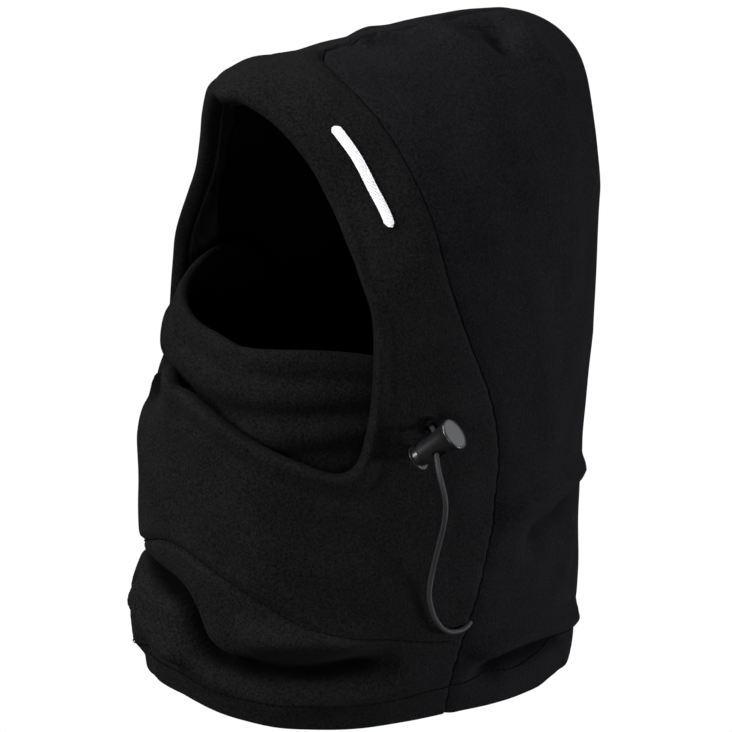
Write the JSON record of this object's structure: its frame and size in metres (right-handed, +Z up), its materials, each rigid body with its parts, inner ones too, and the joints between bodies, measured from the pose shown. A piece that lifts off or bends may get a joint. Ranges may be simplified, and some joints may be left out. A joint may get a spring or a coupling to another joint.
{
  "type": "balaclava",
  "caption": "Black fleece hood balaclava with a pull-up face mask, a drawcord round the face opening and spring cord locks at the sides.",
  "frame": {"origin": "centre of the inside of the crown, where the hood rests on the top of the head", "axes": "+Z up, the wearer faces -Y, and +X is the wearer's left"},
  "size_m": [0.2381, 0.2594, 0.3416],
  "materials": {
    "fleece": "matte brushed fleece",
    "fleece_lining": "matte knit reverse",
    "mask_fleece": "matte smooth knit",
    "thread": "matte spun polyester",
    "embroidery": "satin stitch",
    "elastic_cord": "smooth braid",
    "eyelet_metal": "black oxide",
    "lock_plastic": "moulded satin",
    "plunger_plastic": "moulded satin",
    "spring_steel": "bright wire"
  },
  "bodies": {
    "hood": {"front_panel": "fleece", "front_facing": "fleece_lining", "left_back_panel": "fleece", "right_back_panel": "fleece", "left_side_seam": "fleece_lining", "right_side_seam": "fleece_lining", "crown_seam": "fleece_lining", "neck_hem": "fleece_lining", "hem_stitching": "thread", "neck_stitching": "thread", "mask_apron": "fleece_lining", "embroidered_bar": "embroidery", "drawcord": "elastic_cord", "left_eyelet": "eyelet_metal", "right_eyelet": "eyelet_metal"},
    "mask": {"face_mask": "mask_fleece", "mask_top_hem": "mask_fleece"},
    "left_lock": {"left_lock_barrel": "lock_plastic", "left_lock_spring": "spring_steel"},
    "left_plunger": {"left_lock_plunger": "plunger_plastic"},
    "right_lock": {"right_lock_barrel": "lock_plastic", "right_lock_spring": "spring_steel"},
    "right_plunger": {"right_lock_plunger": "plunger_plastic"}
  },
  "joints": [
    {"name": "mask_swing", "type": "hinge", "parent": "hood", "child": "mask", "pos_m": [0, 0.02, -0.174], "axis": [1, 0, 0], "range_deg": [-6, 30]},
    {"name": "left_lock_slide", "type": "slide", "parent": "hood", "child": "left_lock", "axis": [0.6825, -0.5466, -0.4851], "range_m": [0, 0.005]},
    {"name": "left_plunger_press", "type": "slide", "parent": "left_lock", "child": "left_plunger", "axis": [0.709, 0.3342, 0.621], "range_m": [0, 0.003], "stiffness_N_per_m": 800, "springref_m": -0.0015, "deforming": ["left_lock_spring"]},
    {"name": "right_lock_slide", "type": "slide", "parent": "hood", "child": "right_lock", "axis": [-0.7029, 0.2094, -0.6797], "range_m": [0, 0.005]},
    {"name": "right_plunger_press", "type": "slide", "parent": "right_lock", "child": "right_plunger", "axis": [-0.4964, 0.54, 0.6797], "range_m": [0, 0.003], "stiffness_N_per_m": 800, "springref_m": -0.0015, "deforming": ["right_lock_spring"]}
  ]
}
